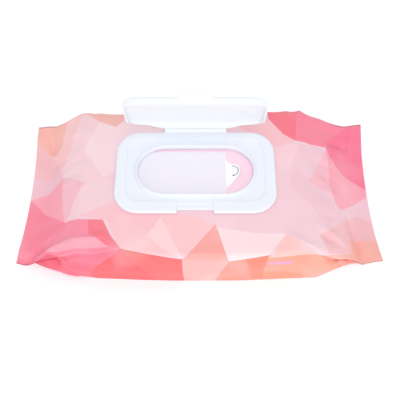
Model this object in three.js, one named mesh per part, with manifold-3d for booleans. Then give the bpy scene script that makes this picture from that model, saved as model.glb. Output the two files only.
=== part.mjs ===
// A soft pack of wet wipes: a gusseted flow-wrap pouch, sealed at both ends round its stack of wipes,
// with a peel-off label over the outlet and a flip-top closure bonded on top by a ring of hot melt.
// Millimetres, +Z up, +X along the pack, -Y towards the user. The origin is under the middle of the pack.
import * as THREE from "three";
import { mergeVertices } from "three/addons/utils/BufferGeometryUtils.js";
import Module from "manifold-3d";

const wasm = await Module();
wasm.setup();

// ---- Driving dimensions -------------------------------------------------------------------------------

// The pouch: a box-shaped middle that tapers at each end to a flat crimped seal.
const PACK_LENGTH = 201; // from one cut edge to the other, at the corners
const BODY_DEPTH = 102;
const BODY_BULGE = 2.2; // how much further the long sides swell at mid-length
const BODY_HEIGHT = 28;
const SEAL_WIDTH = 10.5; // each crimped band, along X
const SEAL_SPAN = 97; // each crimped band, along Y
const SEAL_THICKNESS = 0.8; // four layers of film where the gussets are caught
const SEAL_HEIGHT = 15.5; // the middle of the crimp above the table, at its corners
const SEAL_SAG = 3; // how far the middle of a cut edge hangs below its corners
const SEAL_BOW = 2; // how far the middle of a cut edge is drawn in towards the wipes
const TOP_EDGE_RADIUS = 5;
const BOTTOM_EDGE_RADIUS = 5;
const TUCK_DEPTH = 10; // how far the side gussets are folded in just before the seal
const LEFT_END = { shoulder: 66, heel: 66 }; // where the top starts to fall and the underside to rise
const RIGHT_END = { shoulder: 61, heel: 65 };

// The lengthwise fin seal, folded flat into a shallow hollow of the underside.
const FIN_WIDTH = 12;
const FIN_HOLLOW_WIDTH = 16;
const FIN_HOLLOW_DEPTH = 0.5;
const FIN_GAP = 0.1; // the folded fin stays this far above the table

// The flip-top closure: a base plate with a recessed tray, and a lid that closes into the tray.
const CLOSURE_X = -2.1;
const CLOSURE_Y = 3.5;
const GLUE_THICKNESS = 0.3;
const BASE_WIDTH = 91.5;
const BASE_DEPTH = 56.8;
const BASE_RADIUS = 14;
const FLANGE_THICKNESS = 2;
const FLOOR_THICKNESS = 1;
const TRAY_SIDE_MARGIN = 6; // flange width beside the tray
const TRAY_FRONT_MARGIN = 7.3;
const TRAY_BACK_MARGIN = 5.4;
const TRAY_RADIUS = 8.5;
const OUTLET_WIDTH = 66.5; // the oval that the wipes are pulled through
const OUTLET_DEPTH = 33.2;
const LIP_HEIGHT = 3.2; // the raised wall round the outlet, from the plate's underside
const LIP_WALL = 1.2;
const NOTCH_WIDTH = 20; // thumb notch in the front of the flange
const NOTCH_DEPTH = 2.3;
const CATCH_HEIGHT = 0.5; // a low rib in the notch that the lid's front edge rides over

const CLEARANCE = 0.35; // between the lid and the tray wall
const LID_HEIGHT = 4.4; // the lid's skirt, outside
const LID_WALL = 1.1;
const LID_CROWN = 1.2; // how far the middle of the lid stands above its edge
const LID_REAR_LIFT = 2; // how much lower the skirt is on both sides of the hinge
const TAB_WIDTH = 17.5;
const TAB_LENGTH = 6.3;
const HINGE_WIDTH = 36.5; // the living hinge
const STRAP_ROOT = 0.8; // how far the strap's root stands out from the base's back edge
const HINGE_GAP = 0.3; // the thinned web between base and lid, left open here
const STRAP_THICKNESS = 1.1;
const OPEN_ANGLE = 67; // degrees from closed, as the pack stands

// The peel-off label.
const LABEL_THICKNESS = 0.2;
const LABEL_DEPTH = 29.5;
const LABEL_LEFT = -38;
const LABEL_RIGHT = 17.5;
const LABEL_TAB_BACK = 8.3; // where the thumb tab leaves the straight end, behind the middle
const LABEL_TAB_FRONT = 12; // and in front of it
const LABEL_TAB_REACH = 8.5;

// ---- Shared shapes ------------------------------------------------------------------------------------

const CORNER_STEPS = 8;

// A rounded rectangle's outline at one height, anticlockwise seen from above.
function roundedRing(width, depth, radius, z, centreY = 0) {
  const r = Math.max(radius, 0.05);
  const corners = [
    [width / 2 - r, depth / 2 - r, 0],
    [-width / 2 + r, depth / 2 - r, Math.PI / 2],
    [-width / 2 + r, -depth / 2 + r, Math.PI],
    [width / 2 - r, -depth / 2 + r, 1.5 * Math.PI],
  ];
  const ring = [];
  for (const [x, y, start] of corners) {
    for (let i = 0; i <= CORNER_STEPS; i++) {
      const angle = start + (i / CORNER_STEPS) * (Math.PI / 2);
      ring.push(new THREE.Vector3(x + r * Math.cos(angle), centreY + y + r * Math.sin(angle), z));
    }
  }
  return ring;
}

// The same outline drawn in by a margin all round.
const insetRing = (width, depth, radius, z, inset, centreY = 0) =>
  roundedRing(width - 2 * inset, depth - 2 * inset, radius - inset, z, centreY);

// A closed solid through a stack of outlines that have the same number of points, capped at both ends.
function loft(rings) {
  const count = rings[0].length;
  const positions = rings.flat().flatMap((p) => [p.x, p.y, p.z]);
  const faces = [];
  for (let k = 0; k + 1 < rings.length; k++) {
    for (let i = 0; i < count; i++) {
      const j = (i + 1) % count;
      const [a, b] = [k * count + i, k * count + j];
      faces.push(a, b, b + count, a, b + count, a + count);
    }
  }
  const cap = (ring, first, flip) => {
    const middle = ring.reduce((sum, p) => sum.add(p), new THREE.Vector3()).divideScalar(count);
    const centre = positions.length / 3;
    positions.push(middle.x, middle.y, middle.z);
    for (let i = 0; i < count; i++) {
      const [a, b] = [first + i, first + ((i + 1) % count)];
      faces.push(centre, flip ? b : a, flip ? a : b);
    }
  };
  cap(rings[0], 0, true);
  cap(rings.at(-1), (rings.length - 1) * count, false);
  const geometry = new THREE.BufferGeometry();
  geometry.setAttribute("position", new THREE.Float32BufferAttribute(positions, 3));
  geometry.setIndex(faces);
  return geometry;
}

// Geometry to solid and back, for cuts and joins.
function solid(geometry) {
  const bare = geometry.clone();
  bare.deleteAttribute("normal");
  bare.deleteAttribute("uv");
  const merged = mergeVertices(bare, 1e-4);
  return new wasm.Manifold(
    new wasm.Mesh({
      numProp: 3,
      vertProperties: merged.attributes.position.array,
      triVerts: new Uint32Array(merged.index.array),
    }),
  );
}

function geometryOf(manifold) {
  const mesh = manifold.getMesh();
  const geometry = new THREE.BufferGeometry();
  geometry.setAttribute("position", new THREE.Float32BufferAttribute(mesh.vertProperties, 3));
  geometry.setIndex(new THREE.BufferAttribute(mesh.triVerts, 1));
  geometry.computeVertexNormals();
  return geometry;
}

// A box given by its lowest and highest corners.
function block([x0, y0, z0], [x1, y1, z1]) {
  const geometry = new THREE.BoxGeometry(x1 - x0, y1 - y0, z1 - z0);
  geometry.translate((x0 + x1) / 2, (y0 + y1) / 2, (z0 + z1) / 2);
  return solid(geometry);
}

// A flat plate cut to a plan outline.
function plate(shape, z, thickness) {
  const geometry = new THREE.ExtrudeGeometry(shape, {
    depth: thickness,
    bevelEnabled: false,
    curveSegments: CORNER_STEPS,
  });
  geometry.translate(0, 0, z);
  return solid(geometry);
}

const ease = (t) => t * t * (3 - 2 * t);
const share = (value, from, to) => Math.min(1, Math.max(0, (value - from) / (to - from)));
const mix = THREE.MathUtils.lerp;

// ---- The pouch ----------------------------------------------------------------------------------------

const SEAL_INNER_X = PACK_LENGTH / 2 - SEAL_WIDTH;

// The size of the film's outline across the pack at one station along it.
function pouchSection(x) {
  const reach = Math.abs(x);
  const { shoulder, heel } = x < 0 ? LEFT_END : RIGHT_END;
  const fall = share(reach, shoulder, SEAL_INNER_X);
  const rise = share(reach, heel, SEAL_INNER_X);
  const top = mix(BODY_HEIGHT, SEAL_HEIGHT + SEAL_THICKNESS / 2, mix(ease(fall), fall, 0.5));
  const bottom = mix(0, SEAL_HEIGHT - SEAL_THICKNESS / 2, Math.sin(rise * Math.PI / 2) ** 1.4);
  const bulge = BODY_BULGE * Math.cos(share(reach, 0, shoulder) * Math.PI / 2);
  const half = mix(BODY_DEPTH / 2 + bulge, SEAL_SPAN / 2, ease(fall));
  const limit = (top - bottom) / 2 - 0.02;
  const topRadius = Math.min(mix(TOP_EDGE_RADIUS, 2, fall), limit);
  const bottomRadius = Math.min(mix(BOTTOM_EDGE_RADIUS, 2, rise), limit);
  const tuck = TUCK_DEPTH * ease(share(reach, shoulder + 6, SEAL_INNER_X - 5)) *
    (1 - share(reach, SEAL_INNER_X - 2, SEAL_INNER_X));
  const slack = ease(share(reach, shoulder, PACK_LENGTH / 2));
  return { top, bottom, half, topRadius, bottomRadius, tuck, slack };
}

// How far the underside is lifted at one place across the pack, to make the hollow and the folded fin.
function underside(y, height) {
  const offset = Math.abs(y);
  const scale = Math.min(1, height / (4 * FIN_HOLLOW_DEPTH));
  if (offset > FIN_HOLLOW_WIDTH / 2) return 0;
  return scale * (offset > FIN_WIDTH / 2 ? FIN_HOLLOW_DEPTH : FIN_GAP);
}

// One closed outline of the pouch: back side, top, front side, underside, anticlockwise seen from +X.
function pouchRing(x) {
  const { top, bottom, half, topRadius, bottomRadius, tuck, slack } = pouchSection(x);
  const height = top - bottom;
  const ring = [];
  const put = (y, z) => {
    const middle = slack * (1 - (y / half) ** 2);
    ring.push(new THREE.Vector3(x - Math.sign(x) * SEAL_BOW * middle, y, z - SEAL_SAG * middle));
  };
  const arc = (cy, cz, r, from, to) => {
    for (let i = 0; i <= 5; i++) {
      const angle = THREE.MathUtils.degToRad(mix(from, to, i / 5));
      put(cy + r * Math.cos(angle), cz + r * Math.sin(angle));
    }
  };
  const side = (direction, shares) => {
    for (const s of shares) {
      const z = mix(bottom + bottomRadius, top - topRadius, s);
      const fold = 1 - Math.abs(2 * s - 1);
      put(direction * (half - tuck * fold), z);
    }
  };
  side(1, [0.25, 0.5, 0.75]);
  arc(half - topRadius, top - topRadius, topRadius, 0, 90);
  for (const s of [0.6, 0.2, -0.2, -0.6]) put(s * (half - topRadius), top);
  arc(-half + topRadius, top - topRadius, topRadius, 90, 180);
  side(-1, [0.75, 0.5, 0.25]);
  arc(-half + bottomRadius, bottom + bottomRadius, bottomRadius, 180, 270);
  const steps = [FIN_HOLLOW_WIDTH / 2 + 0.05, FIN_HOLLOW_WIDTH / 2 - 0.05, FIN_WIDTH / 2 + 0.05, FIN_WIDTH / 2 - 0.05];
  for (const y of [-half * 0.6, ...steps.map((s) => -s), ...steps.toReversed(), half * 0.6]) {
    put(y, bottom + underside(y, height));
  }
  arc(half - bottomRadius, bottom + bottomRadius, bottomRadius, 270, 360);
  return ring;
}

function pouch() {
  const taperSteps = 11;
  const endStations = ({ shoulder }) => {
    const stations = [];
    for (let i = 0; i <= taperSteps; i++) stations.push(mix(shoulder, SEAL_INNER_X - 2, i / taperSteps));
    return [...stations, SEAL_INNER_X, PACK_LENGTH / 2];
  };
  const left = endStations(LEFT_END).map((x) => -x).reverse();
  const middle = [-45, -30, -15, 0, 15, 30, 45];
  return loft([...left, ...middle, ...endStations(RIGHT_END)].map(pouchRing));
}

// ---- The flip-top closure -----------------------------------------------------------------------------

const PLATE_Z = BODY_HEIGHT + GLUE_THICKNESS;
const FLOOR_Z = PLATE_Z + FLOOR_THICKNESS;
const FLANGE_Z = PLATE_Z + FLANGE_THICKNESS;
const LIP_Z = PLATE_Z + LIP_HEIGHT;
const TRAY_WIDTH = BASE_WIDTH - 2 * TRAY_SIDE_MARGIN;
const TRAY_FRONT = -BASE_DEPTH / 2 + TRAY_FRONT_MARGIN;
const TRAY_BACK = BASE_DEPTH / 2 - TRAY_BACK_MARGIN;
const TRAY_DEPTH = TRAY_BACK - TRAY_FRONT;
const TRAY_Y = (TRAY_FRONT + TRAY_BACK) / 2;

// The bead of hot melt between the plate and the film, round the outlet.
function glueRing() {
  const outer = loft([BODY_HEIGHT, PLATE_Z].map((z) => insetRing(BASE_WIDTH, BASE_DEPTH, BASE_RADIUS, z, 2.5)));
  const inner = loft([BODY_HEIGHT - 1, PLATE_Z + 1].map((z) => insetRing(BASE_WIDTH, BASE_DEPTH, BASE_RADIUS, z, 6)));
  return geometryOf(solid(outer).subtract(solid(inner)));
}

function closureBase() {
  const edge = (z, inset) => insetRing(BASE_WIDTH, BASE_DEPTH, BASE_RADIUS, z, inset);
  const slab = loft([edge(PLATE_Z, 0), edge(FLANGE_Z - 0.7, 0.05), edge(FLANGE_Z - 0.2, 0.3), edge(FLANGE_Z, 0.8)]);
  const wall = (z, inset) => insetRing(TRAY_WIDTH, TRAY_DEPTH, TRAY_RADIUS, z, inset, TRAY_Y);
  const tray = loft([wall(FLOOR_Z, 0.9), wall(FLOOR_Z + 0.3, 0.25), wall(FLANGE_Z - 0.3, 0), wall(FLANGE_Z + 1, -0.5)]);
  const oval = (z, grow) => insetRing(OUTLET_WIDTH, OUTLET_DEPTH, OUTLET_DEPTH / 2, z, -grow);
  const lip = loft([
    oval(PLATE_Z + 0.2, LIP_WALL + 2),
    oval(FLOOR_Z, LIP_WALL + 2),
    oval(FLOOR_Z + 0.5, LIP_WALL + 0.9),
    oval(FLOOR_Z + 1.2, LIP_WALL + 0.3),
    oval(LIP_Z - 0.3, LIP_WALL),
    oval(LIP_Z, LIP_WALL - 0.3),
  ]);
  const outlet = loft([oval(PLATE_Z - 1, 0), oval(LIP_Z - 0.3, 0), oval(LIP_Z + 1, 0.9)]);
  const front = -BASE_DEPTH / 2;
  const thumbNotch = block([-NOTCH_WIDTH / 2, front - 1, PLATE_Z - 1], [NOTCH_WIDTH / 2, front + NOTCH_DEPTH, FLANGE_Z + 1]);
  const shelf = block([-NOTCH_WIDTH / 2, front, FLOOR_Z], [NOTCH_WIDTH / 2, TRAY_FRONT + 1.5, FLANGE_Z + 1]);
  const back = BASE_DEPTH / 2;
  const strapRoot = block(
    [-HINGE_WIDTH / 2, back - 2, FLANGE_Z - STRAP_THICKNESS],
    [HINGE_WIDTH / 2, back + STRAP_ROOT, FLANGE_Z],
  );
  const catchY = TRAY_FRONT - 2.2;
  const catchRib = block([-TAB_WIDTH / 2, catchY, FLOOR_Z - 0.2], [TAB_WIDTH / 2, catchY + 0.9, FLOOR_Z + CATCH_HEIGHT]);
  return geometryOf(
    solid(slab).subtract(solid(tray)).add(solid(lip)).subtract(solid(outlet))
      .subtract(thumbNotch).subtract(shelf).add(catchRib).add(strapRoot),
  );
}

// The lid is drawn closed, measured from the hinge line: -Y runs towards its free edge.
const HINGE_Y = BASE_DEPTH / 2 + STRAP_ROOT + HINGE_GAP;
const HINGE_Z = FLANGE_Z + HINGE_GAP / 2;
const LID_WIDTH = TRAY_WIDTH - 2 * CLEARANCE;
const LID_DEPTH = TRAY_DEPTH - 2 * CLEARANCE;
const LID_RADIUS = TRAY_RADIUS - CLEARANCE;
const LID_Y = TRAY_Y - HINGE_Y;
const LID_RIM_Z = FLOOR_Z + 0.3 - HINGE_Z;
const LID_TOP_Z = LID_RIM_Z + LID_HEIGHT;

// The crowned panel's rings, from its edge to near its middle, for the outside or the inside of the lid.
function crownRings(width, depth, radius, edgeZ) {
  const ring = (z, inset) => insetRing(width, depth, radius, z, inset, LID_Y);
  const rings = [];
  for (const inset of [1.6, 4, 8, 13, 18]) {
    rings.push(ring(edgeZ + LID_CROWN * Math.sin(share(inset, 0, depth / 2) * (Math.PI / 2)), inset));
  }
  return { ring, rings };
}

// The skirt's rim, which rises at the back on both sides of the hinge so that it clears the flange.
function rimRing(ring) {
  const back = LID_Y + LID_DEPTH / 2;
  for (const p of ring) {
    const beside = ease(share(Math.abs(p.x), HINGE_WIDTH / 2, HINGE_WIDTH / 2 + 12));
    p.z += LID_REAR_LIFT * beside * ease(share(p.y, back - LID_RADIUS - 4, back - 1));
  }
  return ring;
}

function closureLid() {
  const outer = crownRings(LID_WIDTH, LID_DEPTH, LID_RADIUS, LID_TOP_Z);
  const shell = loft([
    rimRing(outer.ring(LID_RIM_Z, 0)),
    outer.ring(LID_TOP_Z - 1.1, 0.15),
    outer.ring(LID_TOP_Z - 0.4, 0.4),
    outer.ring(LID_TOP_Z - 0.02, 0.9),
    ...outer.rings,
  ]);
  const inner = crownRings(LID_WIDTH - 2 * LID_WALL, LID_DEPTH - 2 * LID_WALL, LID_RADIUS - LID_WALL, LID_TOP_Z - LID_WALL);
  const hollow = loft([
    inner.ring(LID_RIM_Z - 1, 0),
    inner.ring(LID_TOP_Z - LID_WALL - 0.9, 0.1),
    inner.ring(LID_TOP_Z - LID_WALL - 0.2, 0.6),
    ...inner.rings,
  ]);

  const strapZ = HINGE_GAP / 2;
  const backEdge = LID_Y + LID_DEPTH / 2;
  const strapEnd = backEdge - LID_WALL / 2;
  const flare = 3;
  const neck = new THREE.Shape();
  neck.moveTo(-HINGE_WIDTH / 2, 0);
  neck.lineTo(HINGE_WIDTH / 2, 0);
  neck.quadraticCurveTo(HINGE_WIDTH / 2, backEdge + 0.4, HINGE_WIDTH / 2 + flare, backEdge + 0.4);
  neck.lineTo(HINGE_WIDTH / 2 + flare, strapEnd);
  neck.lineTo(-HINGE_WIDTH / 2 - flare, strapEnd);
  neck.lineTo(-HINGE_WIDTH / 2 - flare, backEdge + 0.4);
  neck.quadraticCurveTo(-HINGE_WIDTH / 2, backEdge + 0.4, -HINGE_WIDTH / 2, 0);

  const freeEdge = LID_Y - LID_DEPTH / 2;
  const tip = freeEdge - TAB_LENGTH;
  const tabCorner = 2;
  const tab = new THREE.Shape();
  tab.moveTo(-TAB_WIDTH / 2 - 2.5, freeEdge + 1);
  tab.lineTo(-TAB_WIDTH / 2 - 2.5, freeEdge);
  tab.quadraticCurveTo(-TAB_WIDTH / 2, freeEdge, -TAB_WIDTH / 2, freeEdge - 1.5);
  tab.lineTo(-TAB_WIDTH / 2, tip + tabCorner);
  tab.quadraticCurveTo(-TAB_WIDTH / 2, tip, -TAB_WIDTH / 2 + tabCorner, tip);
  tab.lineTo(TAB_WIDTH / 2 - tabCorner, tip);
  tab.quadraticCurveTo(TAB_WIDTH / 2, tip, TAB_WIDTH / 2, tip + tabCorner);
  tab.lineTo(TAB_WIDTH / 2, freeEdge - 1.5);
  tab.quadraticCurveTo(TAB_WIDTH / 2, freeEdge, TAB_WIDTH / 2 + 2.5, freeEdge);
  tab.lineTo(TAB_WIDTH / 2 + 2.5, freeEdge + 1);

  return geometryOf(
    solid(shell)
      .add(plate(neck, strapZ, STRAP_THICKNESS))
      .add(plate(tab, LID_TOP_Z - 1.3, 1))
      .subtract(solid(hollow)),
  );
}

// ---- The peel-off label -------------------------------------------------------------------------------

function peelLabel() {
  const half = LABEL_DEPTH / 2;
  const endRadius = 12;
  const fillet = 3.2;
  const nose = LABEL_RIGHT + LABEL_TAB_REACH + 1.8;
  const outline = new THREE.Shape();
  outline.moveTo(LABEL_LEFT + endRadius, -half);
  outline.lineTo(LABEL_RIGHT, -half);
  outline.lineTo(LABEL_RIGHT, -LABEL_TAB_FRONT);
  outline.bezierCurveTo(nose, -0.5, nose, LABEL_TAB_BACK + 0.7, LABEL_RIGHT + fillet, LABEL_TAB_BACK);
  outline.quadraticCurveTo(LABEL_RIGHT, LABEL_TAB_BACK, LABEL_RIGHT, LABEL_TAB_BACK + fillet);
  outline.lineTo(LABEL_RIGHT, half);
  outline.lineTo(LABEL_LEFT + endRadius, half);
  outline.quadraticCurveTo(LABEL_LEFT, half, LABEL_LEFT, half - endRadius);
  outline.lineTo(LABEL_LEFT, -half + endRadius);
  outline.quadraticCurveTo(LABEL_LEFT, -half, LABEL_LEFT + endRadius, -half);
  return geometryOf(plate(outline, BODY_HEIGHT, LABEL_THICKNESS));
}

// ---- Assembly -----------------------------------------------------------------------------------------

const film = new THREE.MeshStandardMaterial({ color: "#f7a9ae", roughness: 0.38, metalness: 0 });
const whitePlastic = new THREE.MeshStandardMaterial({ color: "#f1f5fb", roughness: 0.35, metalness: 0 });
const labelFilm = new THREE.MeshStandardMaterial({ color: "#eee9f4", roughness: 0.3, metalness: 0 });
const hotMelt = new THREE.MeshStandardMaterial({ color: "#e8dfc8", roughness: 0.6, metalness: 0 });

function named(name, geometry, material) {
  const mesh = new THREE.Mesh(geometry, material);
  mesh.name = name;
  return mesh;
}

const closure = new THREE.Group();
closure.position.set(CLOSURE_X, CLOSURE_Y, 0);
closure.add(named("adhesive_ring", glueRing(), hotMelt));
closure.add(named("peel_label", peelLabel(), labelFilm));
closure.add(named("flip_top_base", closureBase(), whitePlastic));

const hinge = new THREE.Group();
hinge.position.set(0, HINGE_Y, HINGE_Z);
hinge.rotation.x = -THREE.MathUtils.degToRad(OPEN_ANGLE);
hinge.add(named("flip_top_lid", closureLid(), whitePlastic));
closure.add(hinge);

const wipesPack = new THREE.Group();
wipesPack.add(named("sealed_pouch", pouch(), film));
wipesPack.add(closure);

export default wipesPack;
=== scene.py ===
import math

import bmesh
import bpy
import numpy as np
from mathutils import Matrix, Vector, noise
from mathutils.geometry import delaunay_2d_cdt


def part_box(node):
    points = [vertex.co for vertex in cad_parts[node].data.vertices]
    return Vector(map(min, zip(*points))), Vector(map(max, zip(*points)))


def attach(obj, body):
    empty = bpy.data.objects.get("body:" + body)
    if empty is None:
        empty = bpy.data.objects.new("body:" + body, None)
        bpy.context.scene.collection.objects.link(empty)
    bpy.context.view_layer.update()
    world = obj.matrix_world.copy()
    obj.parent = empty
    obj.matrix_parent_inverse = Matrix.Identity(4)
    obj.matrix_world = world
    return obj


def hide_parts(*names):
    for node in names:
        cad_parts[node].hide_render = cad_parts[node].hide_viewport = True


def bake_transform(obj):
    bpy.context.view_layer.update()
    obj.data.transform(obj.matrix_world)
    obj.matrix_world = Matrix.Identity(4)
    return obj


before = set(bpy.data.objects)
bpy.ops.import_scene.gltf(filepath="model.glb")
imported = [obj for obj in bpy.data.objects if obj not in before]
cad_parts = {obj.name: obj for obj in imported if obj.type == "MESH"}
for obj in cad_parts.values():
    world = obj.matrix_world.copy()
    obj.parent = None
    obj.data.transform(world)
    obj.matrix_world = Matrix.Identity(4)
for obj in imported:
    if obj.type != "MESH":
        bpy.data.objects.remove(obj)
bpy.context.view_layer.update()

# ---- The pouch's shape ----
# One web of laminated film is wrapped round the stack of wipes, tucked in at the four corners, and crimped
# flat across both ends. A place on the web is given in millimetres: how far along the pack it lies, and how
# far round it from the middle of the top, with the front side positive.

MM = 0.001
pouch_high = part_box("sealed_pouch")[1] / MM
PACK_END = pouch_high.x
STACK_HEIGHT = pouch_high.z
SEAL_BAND = 10.5
SEAL_START = PACK_END - SEAL_BAND
PANEL = 51.0                      # half the width of the top panel, and of the bottom one
TUCK = STACK_HEIGHT / 2           # depth of the gusset once it is folded flat
WEB_EDGE = 2 * PANEL + STACK_HEIGHT
SEAL_HALF_WIDTH = 48.5
SEAL_Z = 15.5
SEAL_GAP = 0.35                   # from the middle of the crimp to its outer layers
SHOULDER = {"left": 66.0, "right": 61.0}    # where the top starts to fall towards each crimp
HEEL = {"left": 57.0, "right": 65.0}        # where the underside starts to rise towards it
END_CURL = {"left": 1.3, "right": 2.2}      # how far the outer parts of each crimp turn up
END_SAG = 3.0
SIDE_BULGE = 2.1
FOLD_SOFTNESS, CRIMP_SOFTNESS, SHOULDER_SOFTNESS = 4.2, 0.3, 5.0
CORNER_SAGS = [
    # (along, across) of the middle, reach, drop
    ((-95, -47), 6.5, 3.2),
    ((-101, -47), 8.0, 1.6),
    ((-101, 47), 9.0, 2.2),
    ((91, -47), 7.0, 1.0),
]


def share(value, start, end):
    return np.clip((value - start) / (end - start), 0.0, 1.0)


def ease(t):
    return t * t * (3.0 - 2.0 * t)


def mix(a, b, t):
    return a + (b - a) * t


def by_end(along, sizes):
    """The size that holds at the pack's left end or at its right end."""
    return np.where(along < 0, sizes["left"], sizes["right"])


def web_section(along):
    """Heights, half width and tuck of the web's section at each place along the pack."""
    reach = np.abs(along)
    shoulder = by_end(along, SHOULDER)
    fall = share(reach, shoulder, SEAL_START)
    rise = share(reach, by_end(along, HEEL), SEAL_START)
    climb = np.where(along < 0, 0.6 * rise + 0.4 * rise ** 8, np.sin(rise * math.pi / 2) ** 1.15)
    top = mix(STACK_HEIGHT, SEAL_Z + SEAL_GAP, mix(ease(fall), fall, 0.5))
    bottom = mix(0.0, SEAL_Z - SEAL_GAP, climb)
    bulge = SIDE_BULGE * np.cos(share(reach, 0, shoulder) * math.pi / 2)
    half = mix(PANEL + bulge, SEAL_HALF_WIDTH, ease(fall))
    tuck = TUCK * ease(share(reach, shoulder + 4, SEAL_START - 3))
    slack = ease(share(reach, shoulder, PACK_END))
    return fall, top, bottom, half, tuck, slack


def web_path(around, top, bottom, half, tuck, belly):
    """The section with sharp corners: top panel, gusset folded in at its middle, bottom panel."""
    distance = np.abs(around)
    on_panel = share(distance, 0, PANEL)
    on_upper = share(distance, PANEL, PANEL + TUCK)
    on_lower = share(distance, PANEL + TUCK, PANEL + 2 * TUCK)
    on_base = share(distance, PANEL + 2 * TUCK, WEB_EDGE)
    middle = (top + bottom) / 2
    out = half * (on_panel - on_base) + (belly - tuck) * (on_upper - on_lower)
    height = top + (middle - top) * on_upper + (bottom - middle) * on_lower
    return -np.sign(around) * out, height


def web_surface(along, around):
    """Where the smooth web lies, in millimetres, before its creases."""
    fall, top, bottom, half, tuck, slack = web_section(along)
    belly = 0.8 * (1 - fall)
    at_shoulder = np.exp(-((np.abs(along) - 60) / 12) ** 2) * (np.abs(around) < 65)
    softness = mix(FOLD_SOFTNESS, CRIMP_SOFTNESS, ease(fall)) + SHOULDER_SOFTNESS * at_shoulder
    y, z = 0.0, 0.0
    taps = np.linspace(-1, 1, 9)
    for tap in taps:
        place = around + tap * softness
        wrapped = np.where(np.abs(place) > WEB_EDGE, np.sign(place) * 2 * WEB_EDGE - place, place)
        tap_y, tap_z = web_path(wrapped, top, bottom, half, tuck, belly)
        tap_y = np.where(np.abs(place) > WEB_EDGE, -tap_y, tap_y)
        y, z = y + tap_y / len(taps), z + tap_z / len(taps)
    middle = slack * (1 - (y / half) ** 2)
    x = along - np.sign(along) * 2.0 * middle
    curl = share(np.abs(along), SEAL_START, PACK_END) * by_end(along, END_CURL) - 0.5 * slack
    z = z - END_SAG * middle + curl * ease(share(np.abs(y), 26, 48))
    for (middle_x, middle_y), reach, drop in CORNER_SAGS:
        z = z - drop * ease(1 - share(np.hypot(x - middle_x, y - middle_y), 0, reach))
    return np.stack([x, y, z], axis=-1)


# ---- The pouch's creases ----
# The film is stiff enough to keep every fold that packing and handling gave it: pulls from the crimps to
# the stack, dents beside the tucked corners, and a soft unevenness over the wipes.

CLOSURE_X, CLOSURE_Y = -2.1, 3.5
base_low, base_high = (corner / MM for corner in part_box("flip_top_base"))

CREASES = [
    # from (along, around) to (along, around), half width, height
    ((-99, 49), (-86, 39), 4.5, -2.2),
    ((-90, 42), (-72, 27), 4.0, -1.5),
    ((-96, 47), (-66, 41), 4.5, 2.8),
    ((-74, 42), (-48, 39), 4.5, 1.5),
    ((-88, 55), (-64, 52), 5.0, -2.6),
    ((-60, 39), (-58, 49), 2.5, -0.8),
    ((-80, 58), (-56, 66), 3.0, -1.0),
    ((-78, 66), (-66, 76), 3.0, 1.0),
    ((-62, 31), (-40, 48), 3.0, 0.9),
    ((86, 18), (91, 52), 4.0, -3.2),
    ((94, 22), (95, 48), 3.5, 0.9),
    ((44, 35), (70, 51), 3.5, 1.5),
    ((64, 29), (84, 43), 3.5, 1.3),
    ((64, 36), (79, 42), 2.5, -1.2),
    ((66, 52), (80, 74), 3.0, -1.8),
    ((72, 51), (84, 72), 2.5, -1.3),
    ((74, -33), (96, -32), 4.0, -2.6),
    ((91, -44), (90, -22), 3.5, -1.4),
    ((-96, -44), (-88, -26), 3.5, -2.8),
    ((-86, -44), (-70, -30), 4.0, 0.9),
    ((-72, -44), (-58, -20), 6.0, 0.7),
    ((58, -12), (82, 12), 5.0, 0.8),
    ((-86, -6), (-62, 8), 5.0, 0.9),
    ((-24, 50), (12, 47), 3.0, 0.5),
]
BULGES = [
    # (along, around) of the middle, reach along, reach around, height
    ((61, -51), 9.0, 9.0, 3.0),
    ((53, -51), 9.0, 9.0, 1.8),
    ((-70, -50), 9.0, 9.0, 1.2),
    ((-60, -51), 9.0, 9.0, 1.4),
    ((-42, -51), 14.0, 12.0, -2.0),
    ((0, 65), 60.0, 8.0, 0.7),
]


def soft_noise(along, around, scale, seed):
    points = zip(along.ravel() / scale, around.ravel() / scale)
    values = [noise.noise(Vector((u, v, seed))) for u, v in points]
    return np.array(values).reshape(along.shape)


def web_relief(along, around):
    """How far the film stands proud of the smooth web, in millimetres."""
    reach = np.abs(along)
    slope = np.exp(-((reach - 78) / 11) ** 2)
    lump = soft_noise(along, around, 26, 1.7) * 0.9 + soft_noise(along, around, 11, 5.2) * 0.35
    pulls = 1 - 2 * np.abs(soft_noise(along * 0.25, around, 9, 9.1))
    relief = lump * mix(0.45, 1.3, slope) + pulls * 0.9 * slope
    for (start_s, start_t), (end_s, end_t), width, height in CREASES:
        run_s, run_t = end_s - start_s, end_t - start_t
        length = math.hypot(run_s, run_t)
        on_run = ((along - start_s) * run_s + (around - start_t) * run_t) / length ** 2
        off_run = ((along - start_s) * run_t - (around - start_t) * run_s) / length
        taper = np.sin(np.clip(on_run, 0, 1) * math.pi) ** 0.7
        relief += height * taper * np.clip(1 - np.abs(off_run) / width, 0, 1) ** 1.4
    for (middle_s, middle_t), reach_s, reach_t, height in BULGES:
        distance = np.hypot((along - middle_s) / reach_s, (around - middle_t) / reach_t)
        relief += height * np.clip(1 - distance, 0, 1) ** 1.5
    beside_x = np.abs(along - CLOSURE_X) - (base_high.x - base_low.x) / 2
    beside_y = np.abs(around + CLOSURE_Y) - (base_high.y - base_low.y) / 2
    outside = share(np.maximum(beside_x, beside_y), 0.0, 9.0)
    in_seal = share(reach, SEAL_START - 3, SEAL_START + 3) * 0.7
    under = share(np.abs(around), PANEL + 2 * TUCK - 4, PANEL + 2 * TUCK + 4)
    return relief * ease(outside) * (1 - in_seal) * (1 - under)


# ---- The pouch's print ----
# The web is printed before it is wrapped, with plain flat-coloured facets that meet edge to edge.

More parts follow.
